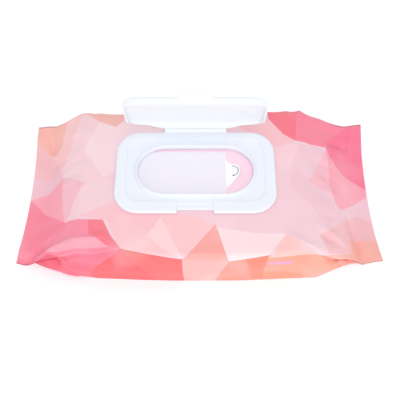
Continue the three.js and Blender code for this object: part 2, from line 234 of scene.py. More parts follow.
PALE_LILAC = (0.91, 0.62, 0.69)
LILAC_SHADE = (0.89, 0.58, 0.66)
PALE_PINK = (0.94, 0.69, 0.75)
LIGHT_CREAM = (0.98, 0.66, 0.68)
PEACH_SALMON = (0.96, 0.55, 0.53)
CREAM_PINK = (0.98, 0.73, 0.75)
BLUSH = (0.92, 0.63, 0.68)
DUSTY_PINK = (0.91, 0.51, 0.54)
MAUVE = (0.89, 0.54, 0.62)
SALMON = (0.96, 0.55, 0.60)
LIGHT_SALMON = (0.97, 0.58, 0.60)
PEACH = (0.95, 0.56, 0.57)
BRICK = (0.91, 0.49, 0.45)
ORANGE = (0.95, 0.46, 0.40)
CORAL = (0.96, 0.39, 0.36)
ROSE = (0.97, 0.38, 0.47)
SOFT_ROSE = (0.94, 0.50, 0.58)
BRIGHT_PINK = (0.97, 0.29, 0.39)
HOT_PINK = (0.96, 0.25, 0.35)
DEEP_PINK = (0.95, 0.21, 0.33)
CRIMSON = (0.95, 0.20, 0.26)
TOMATO = (0.80, 0.15, 0.15)
SCARLET = (0.82, 0.12, 0.14)
FRONT_PINK = (0.84, 0.19, 0.27)
FRONT_SALMON = (0.84, 0.43, 0.42)
TANGERINE = (0.80, 0.29, 0.23)
RUST = (0.79, 0.24, 0.17)
APRICOT = (0.84, 0.35, 0.26)
AMBER = (0.80, 0.30, 0.20)
SOFT_LILAC = (0.96, 0.62, 0.69)
# painted highlight: a lighter pink laid over the print where a fold catches the light
PAINTED_HIGHLIGHT_PINK = (0.96, 0.39, 0.48)
VIOLET_PINK = (0.82, 0.35, 0.54)
# painted shade: a darker rose laid over the print where the front turns under
PAINTED_SHADE_ROSE = (0.83, 0.15, 0.22)
# the print's pink, lightened as painted light against the shade down inside the outlet
OUTLET_PINK_PAINTED_LIGHT = (0.99, 0.71, 0.82)

END = PACK_END
# Most facets are print; a few are painted highlight, painted shade or painted light, each marked where it
# stands.
FACETS = [
    # the top panel, from its left end
    (ORANGE, [(-END, -51), (-81, -51), (-84, -31), (-90, -26), (-END, -37)]),
    (DUSTY_PINK, [(-END, -37), (-90, -26), (-83, -14), (-88, -8), (-END, -10)]),
    (PEACH, [(-81, -51), (-70, -51), (-75, -30), (-82, -13), (-90, -26), (-84, -31)]),
    (BLUSH, [(-70, -51), (-60, -42), (-68, -20), (-82, -13), (-75, -30)]),
    (BRICK, [(-71, -51), (-44, -51), (-46, -41), (-50, -37), (-60, -41)]),
    (PALE_PINK, [(-60, -41), (-50, -37), (-46, -41), (-44, -51), (-20, -51), (-20, -20), (-55, 0),
                 (-68, -20)]),
    (BLUSH, [(-82, -13), (-68, -20), (-55, 0), (-50, 6), (-65, 4), (-80, -6)]),
    (MAUVE, [(-END, -10), (-88, -8), (-83, -14), (-80, -6), (-90, 2), (-END, 6)]),
    (ROSE, [(-END, 6), (-90, 2), (-80, -6), (-79, 10), (-75, 28), (-90, 17)]),
    (SOFT_ROSE, [(-80, -6), (-65, 4), (-70, 14), (-73, 27), (-75, 28), (-79, 10)]),
    (BLUSH, [(-65, 4), (-50, 6), (-48, 17), (-66, 26), (-73, 27), (-70, 14)]),
    (HOT_PINK, [(-END, 6), (-90, 17), (-75, 28), (-53, 28), (-48, 38), (-42, 46), (-57, 51), (-END, 51)]),
    (FRONT_PINK, [(-END, 51), (-57, 51), (-42, 46), (-57, 62), (-62, 79), (-END, 79)]),
    # painted shade, not print: the lower front-left, where the front turns under, is darker
    (PAINTED_SHADE_ROSE, [(-92, 52), (-82.5, 47.5), (-76, 50), (-70, 57), (-54.5, 60), (-57, 70), (-62, 79),
                 (-92, 79)]),
    (BRIGHT_PINK, [(-88, 37), (-70, 28), (-61, 28), (-60, 38), (-70, 44), (-84, 47)]),
    # painted highlight, not print: a lighter band along the fold at the front-left
    (PAINTED_HIGHLIGHT_PINK, [(-85, 46), (-80, 42), (-72, 41), (-61, 39.5), (-52.5, 40), (-48.5, 45), (-60, 47),
                  (-77, 47.5)]),
    (CRIMSON, [(-61, 28), (-53, 28), (-48, 38), (-42, 46), (-50, 44), (-60, 37)]),
    (SALMON, [(-50, 17), (-45, 17), (-30, 24), (-51, 28), (-66, 26)]),
    (SALMON, [(-51, 28), (-30, 24), (-20, 24), (-28, 37), (-42, 46)]),
    (LIGHT_SALMON, [(-42, 46), (-28, 37), (-20, 45), (-9, 51)]),
    (LIGHT_CREAM, [(-28, 37), (-21, 26), (-9, 51), (-20, 45)]),
    (LIGHT_SALMON, [(-21, 26), (-20, 22), (0, 26), (9, 30), (-9, 51)]),
    (CORAL, [(9, 30), (16, 54), (-9, 52)]),
    # the film seen down the outlet: its print lightened as painted light, against the recess's shade
    (OUTLET_PINK_PAINTED_LIGHT, [(-37, -23), (33, -23), (33, 15), (-37, 15)]),
    # the front side
    (SCARLET, [(-42, 46), (-9, 52), (-9, 62), (-8, 79), (-62, 79), (-57, 62)]),
    (TOMATO, [(-42, 46), (-9, 52), (-9, 62), (-8, 79), (-20, 79), (-30, 62)]),
    (FRONT_SALMON, [(-9, 52), (16, 54), (11, 66), (8, 79), (-8, 79), (-9, 62)]),
    (TANGERINE, [(16, 54), (37, 50), (35, 65), (36, 79), (8, 79), (11, 66)]),
    (RUST, [(25, 52), (37, 50), (35, 65), (36, 79), (30, 79)]),
    (APRICOT, [(37, 50), (68, 51), (75, 62), (79, 79), (36, 79), (35, 65)]),
    (AMBER, [(36, 79), (35, 65), (48, 66), (58, 72), (57, 79)]),
    (VIOLET_PINK, [(38, 55.5), (50, 55.5), (51, 57), (50, 58.5), (38, 58.5), (37, 57)]),
    # the top panel, towards its right end
    (CREAM_PINK, [(10, 32), (30, 36), (47, 37), (37, 50), (16, 54)]),
    (PEACH_SALMON, [(47, 37), (66, 51), (37, 52), (40, 49)]),
    (SOFT_LILAC, [(44, -24), (60, -24), (54, -12), (46, -6)]),
    (LILAC_SHADE, [(60, -24), (76, -27), (69, -10), (63, 2), (60, 16), (52, 6), (54, -12)]),
    (DUSTY_PINK, [(66, 37), (72, 33), (84, 36), (84, 46), (70, 49)]),
    (SOFT_ROSE, [(76, -27), (77, -10), (76, 7), (70, 6), (63, 2), (69, -10)]),
    (ROSE, [(76, -27), (84, -14), (END, -2), (END, 3), (81, 17), (76, 7), (77, -10)]),
    (LILAC_SHADE, [(81, 17), (END, 3), (END, 22), (92, 18), (84, 22), (72, 33), (60, 16), (63, 2), (70, 6),
                   (76, 7)]),
    (CRIMSON, [(41, -51), (42, -43), (50, -32), (57, -27), (60, -51)]),
    (HOT_PINK, [(60, -51), (57, -27), (66, -25), (76, -27), (80, -37), (88, -46), (92, -51)]),
    (DEEP_PINK, [(92, -51), (88, -46), (80, -37), (76, -27), (84, -14), (END, -2), (END, -51)]),
    (SALMON, [(20, -40), (42, -43), (50, -32), (57, -27), (46, -22), (30, -30)]),
    (DUSTY_PINK, [(72, 33), (84, 22), (92, 18), (END, 22), (END, 36), (90, 36), (84, 36)]),
    (ORANGE, [(END, 36), (90, 36), (84, 36), (84, 46), (92, 51), (END, 51)]),
    (ORANGE, [(84, 46), (92, 51), (END, 51), (END, 79), (79, 79), (75, 62), (68, 51)]),
    # painted shade, not print: a darker facet over the tuck folds at the lower right of the front
    (RUST, [(66, 51), (74, 53), (85, 62), (82, 76), (76, 71)]),
    # the back side
    (ORANGE, [(-END, -51), (-81, -51), (-76, -79), (-END, -79)]),
    (PEACH, [(-81, -51), (-70, -51), (-58, -79), (-76, -79)]),
    (BRICK, [(-71, -51), (-44, -51), (-40, -79), (-58, -79)]),
    (PALE_PINK, [(-44, -51), (-12, -51), (-22, -79), (-40, -79)]),
    (SALMON, [(-12, -51), (18, -51), (4, -79), (-22, -79)]),
    (ROSE, [(18, -51), (41, -51), (34, -79), (4, -79)]),
    (CRIMSON, [(41, -51), (60, -51), (66, -79), (34, -79)]),
    (HOT_PINK, [(60, -51), (92, -51), (END, -60), (END, -79), (66, -79)]),
    (DEEP_PINK, [(92, -51), (END, -51), (END, -60)]),
    # the underside, clear of the lengthwise seal
    (HOT_PINK, [(-END, 79), (-62, 79), (-50, 120), (-END, 120)]),
    (SALMON, [(-62, 79), (-8, 79), (-30, 120), (-50, 120)]),
    (PALE_PINK, [(-8, 79), (36, 79), (20, 120), (-30, 120)]),
    (PEACH, [(36, 79), (79, 79), (62, 120), (20, 120)]),
    (SOFT_ROSE, [(79, 79), (END, 79), (END, 120), (62, 120)]),
    (PEACH, [(-END, -79), (-58, -79), (-66, -120), (-END, -120)]),
    (CREAM_PINK, [(-22, -79), (34, -79), (28, -120), (-10, -120)]),
    (SALMON, [(34, -79), (66, -79), (END, -95), (END, -120), (28, -120)]),
    (ROSE, [(66, -79), (END, -79), (END, -95)]),
]


def spread(start, end, step):
    """Evenly spaced places from start to end, no further apart than step."""
    return np.linspace(start, end, max(2, math.ceil(abs(end - start) / step) + 1))


# Lines of the mesh across and round the web: closest in the crimps, where the ribs are.
half_columns = np.concatenate([
    spread(0, 58, 1.9)[:-1],
    spread(58, SEAL_START - 1, 1.1)[:-1],
    spread(SEAL_START - 1, PACK_END, 0.3),
])
columns = np.concatenate([-half_columns[:0:-1], half_columns])
half_rows = np.concatenate([
    spread(0, PANEL - TUCK, 1.8)[:-1],
    spread(PANEL - TUCK, PANEL + 3 * TUCK, 1.4)[:-1],
    spread(PANEL + 3 * TUCK, WEB_EDGE, 1.8),
])
rows = np.concatenate([-half_rows[:0:-1], half_rows])

# Points along each facet's outline, as close as the mesh around them.
facet_points, facet_edges = [], []
for colour, outline in FACETS:
    ends = [(s, rows[np.abs(rows - t).argmin()] if abs(s) > END - 0.01 else t) for s, t in outline]
    for (s0, t0), (s1, t1) in zip(ends, ends[1:] + ends[:1]):
        on_cut_edge = abs(s0) > END - 0.01 and s0 == s1
        spacing = 0.6 if max(abs(s0), abs(s1)) > SEAL_START - 2 else 1.5
        count = 1 if on_cut_edge else math.ceil(math.hypot(s1 - s0, t1 - t0) / spacing)
        first = len(facet_points)
        facet_points += [(mix(s0, s1, k / count), mix(t0, t1, k / count)) for k in range(count + 1)]
        facet_edges += [(first + k, first + k + 1) for k in range(count)]
facet_points = np.array(facet_points)

grid = np.array([(s, t) for s in columns for t in rows])
keep = np.ones(len(grid), bool)
for s, t in facet_points:
    near = (np.abs(grid[:, 0] - s) < 0.7) & (np.abs(grid[:, 1] - t) < 0.7)
    limit = 0.16 if abs(s) > SEAL_START - 1 else 0.6
    keep[near] &= np.hypot(grid[near, 0] - s, grid[near, 1] - t) > limit
on_border = (np.abs(grid[:, 0]) > END - 0.01) | (np.abs(grid[:, 1]) > WEB_EDGE - 0.01)
grid = grid[keep | on_border]

flat_points = [Vector(p) for p in np.concatenate([grid, facet_points])]
flat_edges = [(a + len(grid), b + len(grid)) for a, b in facet_edges]
web_points, _, web_faces, *_ = delaunay_2d_cdt(flat_points, flat_edges, [], 0, 1e-4)
web_points = np.array(web_points)
web_faces = np.array(web_faces)


def inside(points, outline):
    """Which points lie inside a closed outline."""
    x, y = points[:, 0], points[:, 1]
    found = np.zeros(len(points), bool)
    for (x0, y0), (x1, y1) in zip(outline, outline[1:] + outline[:1]):
        if y0 != y1:
            found ^= ((y0 > y) != (y1 > y)) & (x < (x1 - x0) * (y - y0) / (y1 - y0) + x0)
    return found


centres = web_points[web_faces].mean(axis=1)
face_colours = np.tile(PALE_LILAC, (len(web_faces), 1))
for colour, outline in FACETS:
    face_colours[inside(centres, outline)] = colour

along, around = web_points[:, 0], web_points[:, 1]
STEP = 0.3
surface = web_surface(along, around)
slope_s = web_surface(along + STEP, around) - web_surface(along - STEP, around)
slope_t = web_surface(along, around + STEP) - web_surface(along, around - STEP)
outward = np.cross(slope_t, slope_s)
outward /= np.linalg.norm(outward, axis=1)[:, None] + 1e-9


def layers_together(along):
    """None over the stack, and one where the web's layers lie together on their way into a crimp."""
    return ease(share(np.abs(along), 73, 86))


# Over the stack each face has its own relief. Towards the crimps the layers move as one.
together = layers_together(along)
across = np.clip(-surface[:, 1], -48, 48)
surface += outward * (web_relief(along, around) * (1 - together))[:, None]
surface[:, 2] += web_relief(along, across) * together

# The folded lengthwise seal lies in a shallow hollow of the underside.
HOLLOW_HALF, HOLLOW_DEPTH, HOLLOW_RAMP = 8.0, 0.5, 1.2


def hollow_depth(along):
    """The hollow runs out to nothing at the crimps."""
    return HOLLOW_DEPTH * (1 - share(np.abs(along), SEAL_START - 8, SEAL_START))


hollow = ease(share(HOLLOW_HALF + HOLLOW_RAMP / 2 - np.abs(surface[:, 1]), 0, HOLLOW_RAMP))
surface[:, 2] += hollow_depth(along) * hollow * (np.abs(around) > PANEL + 3 * TUCK)
surface[:, 2] = np.maximum(surface[:, 2], 0.0)

# The open edges at each cut end are closed between layer and layer.
place_of = {(round(s, 3), round(t, 3)): index for index, (s, t) in enumerate(web_points)}
end_faces = []


def close_layers(end, upper, lower):
    for (u0, u1), (l0, l1) in zip(zip(upper, upper[1:]), zip(lower, lower[1:])):
        corners = [place_of[(round(end, 3), round(t, 3))] for t in (u0, u1, l1, l0)]
        end_faces.append(list(dict.fromkeys(corners)))


inner, fold, outer = PANEL - TUCK, PANEL + TUCK, PANEL + 3 * TUCK
layer_pairs = [
    # on half of the web: the upper layer's start and end, and the sum of two places that face each other
    (0.0, inner, WEB_EDGE),
    (inner, PANEL, 2 * PANEL),
    (fold, PANEL + 2 * TUCK, 2 * (PANEL + 2 * TUCK)),
]
for end in (-END, END):
    for side in (-1, 1):
        for first, last, total in layer_pairs:
            leaf = half_rows[(half_rows > first - 1e-6) & (half_rows < last + 1e-6)]
            close_layers(end, side * leaf, side * (total - leaf))
        end_faces.append([place_of[(round(end, 3), round(side * t, 3))] for t in (inner, fold, outer)])


def mesh_object(name, vertices, faces, smooth_angle=None):
    """An object at the origin whose mesh is given in millimetres."""
    mesh = bpy.data.meshes.new(name)
    mesh.from_pydata([Vector(v) * MM for v in vertices], [], [tuple(int(i) for i in f) for f in faces])
    mesh.shade_smooth()
    if smooth_angle is not None:
        mesh.set_sharp_from_angle(angle=math.radians(smooth_angle))
    made = bpy.data.objects.new(name, mesh)
    bpy.context.scene.collection.objects.link(made)
    return made


def welded(thing, reach=0.002):
    """Merges points that lie within reach, in millimetres, and turns every face outwards."""
    shell = bmesh.new()
    shell.from_mesh(thing.data)
    bmesh.ops.remove_doubles(shell, verts=shell.verts, dist=reach * MM)
    bmesh.ops.recalc_face_normals(shell, faces=shell.faces)
    if shell.calc_volume(signed=True) < 0:
        bmesh.ops.reverse_faces(shell, faces=shell.faces)
    shell.to_mesh(thing.data)
    shell.free()
    return thing


pouch_film = mesh_object("pouch_film", surface, list(web_faces[:, ::-1]) + end_faces)
print_layer = pouch_film.data.color_attributes.new("print", "FLOAT_COLOR", "CORNER")
for polygon in pouch_film.data.polygons:
    colour = face_colours[polygon.index] if polygon.index < len(web_faces) else PALE_LILAC
    for loop in polygon.loop_indices:
        print_layer.data[loop].color = (*colour, 1.0)
along_layer = pouch_film.data.attributes.new("along", "FLOAT", "POINT")
along_layer.data.foreach_set("value", along.astype(np.float32))
welded(pouch_film, 0.01)


def add_nodes(tree, *kinds):
    return [tree.nodes.new(kind) for kind in kinds]


def set_inputs(node, **values):
    """Sets a node's sockets by their names, with an underscore for each space."""
    for name, value in values.items():
        node.inputs[name.replace("_", " ")].default_value = value


def feed(tree, socket, value):
    """Links a socket to another one, or sets it where the value is plain."""
    if isinstance(value, bpy.types.NodeSocket):
        tree.links.new(value, socket)
    else:
        socket.default_value = value


RIB_PITCH, RIB_HEIGHT, RIB_FADE, RIB_MARGIN = 1.5, 0.1, 0.8, 0.4


def crimp_tree():
    """Embosses a band of parallel ribs at each end of the web, between two distances along it."""
    tree = bpy.data.node_groups.new("end_crimp", "GeometryNodeTree")
    tree.interface.new_socket("Web", in_out="INPUT", socket_type="NodeSocketGeometry")
    for name in ("Pitch", "Height", "Band Start", "Band End"):
        tree.interface.new_socket(name, in_out="INPUT", socket_type="NodeSocketFloat")
    tree.interface.new_socket("Film", in_out="INPUT", socket_type="NodeSocketMaterial")
    tree.interface.new_socket("Web", in_out="OUTPUT", socket_type="NodeSocketGeometry")
    given, made = add_nodes(tree, "NodeGroupInput", "NodeGroupOutput")
    place, offset, move, realize, coat = add_nodes(
        tree, "GeometryNodeInputNamedAttribute", "ShaderNodeCombineXYZ", "GeometryNodeSetPosition",
        "GeometryNodeRealizeInstances", "GeometryNodeSetMaterial")
    place.data_type = "FLOAT"
    set_inputs(place, Name="along")

    def maths(operation, first, second=0.0):
        node = tree.nodes.new("ShaderNodeMath")
        node.operation = operation
        feed(tree, node.inputs[0], first)
        feed(tree, node.inputs[1], second)
        return node.outputs[0]

    def ramp(value, start, end):
        node = tree.nodes.new("ShaderNodeMapRange")
        node.interpolation_type = "SMOOTHSTEP"
        tree.links.new(value, node.inputs["Value"])
        tree.links.new(start, node.inputs["From Min"])
        tree.links.new(end, node.inputs["From Max"])
        return node.outputs["Result"]

    reach = maths("ABSOLUTE", place.outputs["Attribute"])
    phase = maths("DIVIDE", maths("SUBTRACT", reach, given.outputs["Band Start"]), given.outputs["Pitch"])
    wave = maths("SINE", maths("MULTIPLY", phase, 2 * math.pi))
    rising = ramp(reach, given.outputs["Band Start"], maths("ADD", given.outputs["Band Start"], RIB_FADE))
    falling = ramp(reach, given.outputs["Band End"], maths("SUBTRACT", given.outputs["Band End"], RIB_FADE))
    rib = maths("MULTIPLY", wave, given.outputs["Height"])
    height = maths("MULTIPLY", rib, maths("MULTIPLY", rising, falling))
    tree.links.new(height, offset.inputs["Z"])
    tree.links.new(given.outputs["Web"], move.inputs["Geometry"])
    tree.links.new(offset.outputs["Vector"], move.inputs["Offset"])
    tree.links.new(move.outputs["Geometry"], realize.inputs["Geometry"])
    tree.links.new(realize.outputs["Geometry"], coat.inputs["Geometry"])
    tree.links.new(given.outputs["Film"], coat.inputs["Material"])
    tree.links.new(coat.outputs["Geometry"], made.inputs["Web"])
    return tree


def apply_tree(thing, tree, **values):
    """Runs a geometry tree on an object, keeps the result as its plain mesh, and removes the tree."""
    step = thing.modifiers.new(tree.name, "NODES")
    step.node_group = tree
    for socket in tree.interface.items_tree:
        key = socket.name.lower().replace(" ", "_")
        if socket.in_out == "INPUT" and key in values:
            step[socket.identifier] = values[key]
    bpy.context.view_layer.update()
    evaluated = thing.evaluated_get(bpy.context.evaluated_depsgraph_get())
    result = bpy.data.meshes.new_from_object(evaluated)
    thing.modifiers.remove(step)
    thing.data = result


def plain_material(name, colour, roughness, **sockets):
    material = bpy.data.materials.new(name)
    material.use_nodes = True
    shader = material.node_tree.nodes["Principled BSDF"]
    set_inputs(shader, Base_Color=(*colour, 1.0), Roughness=roughness, **sockets)
    return material, material.node_tree, shader


def grain_bump(tree, shader, scale, distance, detail=3.0):
    """A fine unevenness of the surface, from noise on the object's own coordinates."""
    where, grain, bump = add_nodes(tree, "ShaderNodeTexCoord", "ShaderNodeTexNoise", "ShaderNodeBump")
    set_inputs(grain, Scale=scale, Detail=detail)
    set_inputs(bump, Distance=distance, Strength=0.5)
    tree.links.new(where.outputs["Object"], grain.inputs["Vector"])
    tree.links.new(grain.outputs["Fac"], bump.inputs["Height"])
    tree.links.new(bump.outputs["Normal"], shader.inputs["Normal"])


def tint(tree, shader, amount, first, second):
    """Gives the shader a mix of two colours, each a socket or plain numbers."""
    blend = tree.nodes.new("ShaderNodeMix")
    blend.data_type = "RGBA"
    for place, value in ((0, amount), (6, first), (7, second)):
        feed(tree, blend.inputs[place], value)
    tree.links.new(blend.outputs[2], shader.inputs["Base Color"])


def printed_film():
    """Matt-laminated film: the facets' ink, thinner in places, under a coating with a broad highlight."""
    material, tree, shader = plain_material(
        "printed_film", PALE_LILAC, 0.42, Specular_IOR_Level=0.35, Coat_Weight=0.1, Coat_Roughness=0.25)
    ink, where, drift, level = add_nodes(
        tree, "ShaderNodeVertexColor", "ShaderNodeTexCoord", "ShaderNodeTexNoise", "ShaderNodeMapRange")
    ink.layer_name = "print"
    set_inputs(drift, Scale=38.0, Detail=1.5)
    set_inputs(level, From_Min=0.5, From_Max=0.8, To_Max=0.25)
    tree.links.new(where.outputs["Object"], drift.inputs["Vector"])
    tree.links.new(drift.outputs["Fac"], level.inputs["Value"])
    tint(tree, shader, level.outputs["Result"], ink.outputs["Color"], (1.0, 0.8, 0.84, 1.0))
    grain_bump(tree, shader, 900.0, 0.00004)
    return material


film_material = printed_film()
apply_tree(pouch_film, crimp_tree(), pitch=RIB_PITCH, height=RIB_HEIGHT * MM,
           band_start=SEAL_START + RIB_MARGIN, band_end=PACK_END - RIB_MARGIN, film=film_material)
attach(pouch_film, "pack")
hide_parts("sealed_pouch")

# ---- The lengthwise seal ----
# The web's two long edges are welded face to face between ribbed wheels. The strip that they make is folded
# over and lies in the shallow hollow along the middle of the underside.

FOLD_HALF, FOLD_THICKNESS, FOLD_GAP = 6.0, 0.3, 0.05


def underside(along, across):
    """Where the film's underside lies, its hollow included."""
    around = np.where(across > 0, -1, 1) * (WEB_EDGE - np.abs(across))
    under_film = web_surface(along, around)
    under_film[..., 2] += web_relief(along, -across) * layers_together(along)
    under_film[..., 2] += hollow_depth(along)
    return under_film


def skin_between(rings, closed=False):
    """Quads from each ring to the next, and from the last to the first where the shape closes on itself."""
    size, faces = len(rings[0]), []
    for k in range(len(rings) - (0 if closed else 1)):
        here, there = k * size, (k + 1) % len(rings) * size
        faces += [(here + i, here + (i + 1) % size, there + (i + 1) % size, there + i) for i in range(size)]
    return faces


def strip_between(slices):
    """A closed strip through slices that each go out along one side of it and back along the other."""
    size, faces = len(slices[0]), skin_between(slices)
    for first in (0, (len(slices) - 1) * size):
        last = first + size - 1
        faces += [(first + i, first + i + 1, last - 1 - i, last - i) for i in range(size // 2 - 1)]
    return faces


fold_along, fold_across = np.meshgrid(
    spread(-END, END, 0.35), spread(-FOLD_HALF, FOLD_HALF, 2.0), indexing="ij")
fold_top = underside(fold_along, fold_across) - (0, 0, FOLD_GAP)
fold_slices = np.concatenate([fold_top, fold_top[:, ::-1] - (0, 0, FOLD_THICKNESS)], axis=1)
fold_strip = welded(mesh_object(
    "lengthwise_seal", fold_slices.reshape(-1, 3), strip_between(fold_slices), smooth_angle=40))
fold_ink = fold_strip.data.color_attributes.new("print", "FLOAT_COLOR", "CORNER")
for corner in fold_ink.data:
    corner.color = (*PALE_LILAC, 1.0)
fold_reach = fold_strip.data.attributes.new("along", "FLOAT", "POINT")
fold_reach.data.foreach_set("value", np.repeat(fold_along[:, 0], fold_slices.shape[1]).astype(np.float32))
apply_tree(fold_strip, crimp_tree(), pitch=RIB_PITCH, height=RIB_HEIGHT / 2 * MM,
           band_start=0.0, band_end=PACK_END - RIB_MARGIN, film=film_material)
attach(fold_strip, "pack")

# ---- The adhesive ring ----
# A bead of hot-melt adhesive, pressed flat between the flip-top base and the film round the outlet. It is
# laid by a nozzle, so it is slightly milky and uneven.

def hot_melt():
    material, tree, shader = plain_material("hot_melt", (0.86, 0.83, 0.74), 0.3, Subsurface_Weight=0.1)
    grain_bump(tree, shader, 350.0, 0.0002)
    return material


bpy.data.objects["adhesive_ring"].data.materials.clear()
bpy.data.objects["adhesive_ring"].data.materials.append(hot_melt())

# ---- The peel label ----
# A die-cut label of thin white film that covers the slit in the pouch. Its gum holds it at the left end,
# and the thumb tab at its right end carries no gum, so it lifts a little. The tab has a printed arrow.

label_low, label_high = (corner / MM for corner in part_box("peel_label"))
LABEL_FRONT, LABEL_BACK = label_low.y - CLOSURE_Y, label_high.y - CLOSURE_Y
LABEL_LEFT = label_low.x - CLOSURE_X
LABEL_RIGHT = 17.5
LABEL_TIP = label_high.x - CLOSURE_X
TAB_ROOT_BACK, TAB_ROOT_FRONT = 8.3, -10.2
LABEL_RADIUS = 12.0
LABEL_SKIN = 0.12


def bezier(start, first, second, end, steps):
    """Places along a cubic curve, without its start."""
    t = np.linspace(0, 1, steps + 1)[1:, None]
    a, b, c, d = [np.array(p, float) for p in (start, first, second, end)]
    return (1 - t) ** 3 * a + 3 * t * (1 - t) ** 2 * b + 3 * t * t * (1 - t) * c + t ** 3 * d


def arc(centre, radius, angles):
    return [(centre[0] + radius * math.cos(a), centre[1] + radius * math.sin(a)) for a in angles]


def spread_points(start, end, step):
    """Evenly spaced places on a straight run, without its start."""
    count = max(1, math.ceil(math.dist(start, end) / step))
    return [(mix(start[0], end[0], k / count), mix(start[1], end[1], k / count)) for k in range(1, count + 1)]


def label_outline():
    """Round the label from its front right corner: the tab, the back edge, the round left end."""
    bend_x = LABEL_LEFT + LABEL_RADIUS
    points = [(LABEL_RIGHT, LABEL_FRONT)]
    points += spread_points((LABEL_RIGHT, LABEL_FRONT), (LABEL_RIGHT, TAB_ROOT_FRONT - 1.2), 0.6)
    tip = (LABEL_TIP, -0.2)
    points += list(bezier(points[-1], (LABEL_RIGHT, TAB_ROOT_FRONT), (LABEL_TIP - 3.0, -7.4), tip, 18))
    shoulder = (LABEL_TIP - 3.2, 6.0)
    points += list(bezier(tip, (LABEL_TIP + 0.2, 3.2), (LABEL_TIP - 1.0, 5.6), shoulder, 10))
    root = (LABEL_RIGHT, TAB_ROOT_BACK + 2.6)
    points += list(bezier(shoulder, (LABEL_TIP - 5.4, 6.3), (LABEL_RIGHT + 0.2, 6.9), root, 10))
    points += spread_points(root, (LABEL_RIGHT, LABEL_BACK), 0.6)
    points += spread_points((LABEL_RIGHT, LABEL_BACK), (bend_x, LABEL_BACK), 1.0)
    back_bend = np.radians(np.linspace(90, 180, 13)[1:])
    front_bend = np.radians(np.linspace(180, 270, 13)[1:])
    points += arc((bend_x, LABEL_BACK - LABEL_RADIUS), LABEL_RADIUS, back_bend)
    points += spread_points(points[-1], (LABEL_LEFT, LABEL_FRONT + LABEL_RADIUS), 1.0)
    points += arc((bend_x, LABEL_FRONT + LABEL_RADIUS), LABEL_RADIUS, front_bend)
    points += spread_points(points[-1], (LABEL_RIGHT, LABEL_FRONT), 1.0)[:-1]
    return np.array([tuple(p) for p in points])


def flat_sheet(name, outline, spacing, upper, lower):
    """A closed sheet in the shape of an outline, between two heights given as functions of place."""
    low, high = outline.min(axis=0), outline.max(axis=0)
    spots = [(x, y) for x in spread(low[0], high[0], spacing) for y in spread(low[1], high[1], spacing)]
    spots = np.array(spots) + np.array([0.37, 0.29]) * spacing
    spots = spots[inside(spots, [tuple(p) for p in outline])]
    far = np.array([np.min(np.hypot(*(outline - p).T)) > spacing * 0.5 for p in spots], bool)
    rim = len(outline)
    flat = [Vector(p) for p in np.concatenate([outline, spots[far]])]
    around_rim = [(k, (k + 1) % rim) for k in range(rim)]
    points, _, faces, *_ = delaunay_2d_cdt(flat, around_rim, [], 1, 1e-5)
    points = np.array(points)
    count = len(points)
    top = np.column_stack([points + (CLOSURE_X, CLOSURE_Y), upper(points[:, 0], points[:, 1])])
    under = np.column_stack([points + (CLOSURE_X, CLOSURE_Y), lower(points[:, 0], points[:, 1])])
    sides = {(a, b): None for face in faces for a, b in zip(face, face[1:] + face[:1])}
    walls = [(b, a, a + count, b + count) for a, b in sides if (b, a) not in sides]
    closed = [tuple(f) for f in faces] + [tuple(i + count for i in reversed(f)) for f in faces] + walls
    return welded(mesh_object(name, np.concatenate([top, under]), closed, 40))


def label_lift(x, y):
    """The tab curls up towards its tip, and the label follows the film's slight unevenness."""
    curl = share(x, LABEL_RIGHT - 2, LABEL_TIP) ** 2 * 0.55
    ripple = 0.05 * np.sin(x * 0.21 + 0.6) * np.cos(y * 0.17)
    return label_low.z + LABEL_SKIN + 0.06 + ripple + curl


peel_label = flat_sheet("label_sheet", label_outline(), 1.4,
                        label_lift, lambda x, y: label_lift(x, y) - LABEL_SKIN)

LABEL_TINT = (0.87, 0.845, 0.91)
TAB_WHITE = (0.97, 0.96, 0.98)


def label_film():
    """Gloss polyester film, wavy from the gum under it, which tints it. The tab has no gum and is white."""
    material, tree, shader = plain_material(
        "label_film", LABEL_TINT, 0.3, Coat_Weight=0.2, Coat_Roughness=0.1)
    grain_bump(tree, shader, 160.0, 0.0001, 2.0)
    where, axes, side = add_nodes(
        tree, "ShaderNodeTexCoord", "ShaderNodeSeparateXYZ", "ShaderNodeMapRange")
    tab_root = (CLOSURE_X + LABEL_RIGHT) * MM
    set_inputs(side, From_Min=tab_root - 0.3 * MM, From_Max=tab_root)
    tree.links.new(where.outputs["Object"], axes.inputs["Vector"])
    tree.links.new(axes.outputs["X"], side.inputs["Value"])
    tint(tree, shader, side.outputs["Result"], (*LABEL_TINT, 1.0), (*TAB_WHITE, 1.0))
    return material


peel_label.data.materials.append(label_film())
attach(peel_label, "pack")
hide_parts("peel_label")

# The arrow curls round nearly half a circle and ends in a small head that points back to the label.
ARROW_X, ARROW_Y, ARROW_RADIUS, ARROW_STROKE = 21.3, 1.2, 3.3, 0.36
HEAD_HALF, HEAD_LENGTH = 0.62, 1.15


def arrow_outline():
    turn = np.radians(np.linspace(96, -74, 40))
    outer = arc((ARROW_X, ARROW_Y), ARROW_RADIUS + ARROW_STROKE / 2, turn)
    inner = arc((ARROW_X, ARROW_Y), ARROW_RADIUS - ARROW_STROKE / 2, turn[::-1])
    last = turn[-1]
    out, forward = np.array([math.cos(last), math.sin(last)]), np.array([math.sin(last), -math.cos(last)])
    foot = np.array([ARROW_X, ARROW_Y]) + ARROW_RADIUS * out
    head = [foot + out * HEAD_HALF, foot + forward * HEAD_LENGTH, foot - out * HEAD_HALF]
    return np.array([tuple(p) for p in outer + head + inner])


arrow = flat_sheet("tab_arrow", arrow_outline(), 0.5, lambda x, y: label_lift(x, y) + 0.035,
                   lambda x, y: label_lift(x, y) + 0.01)


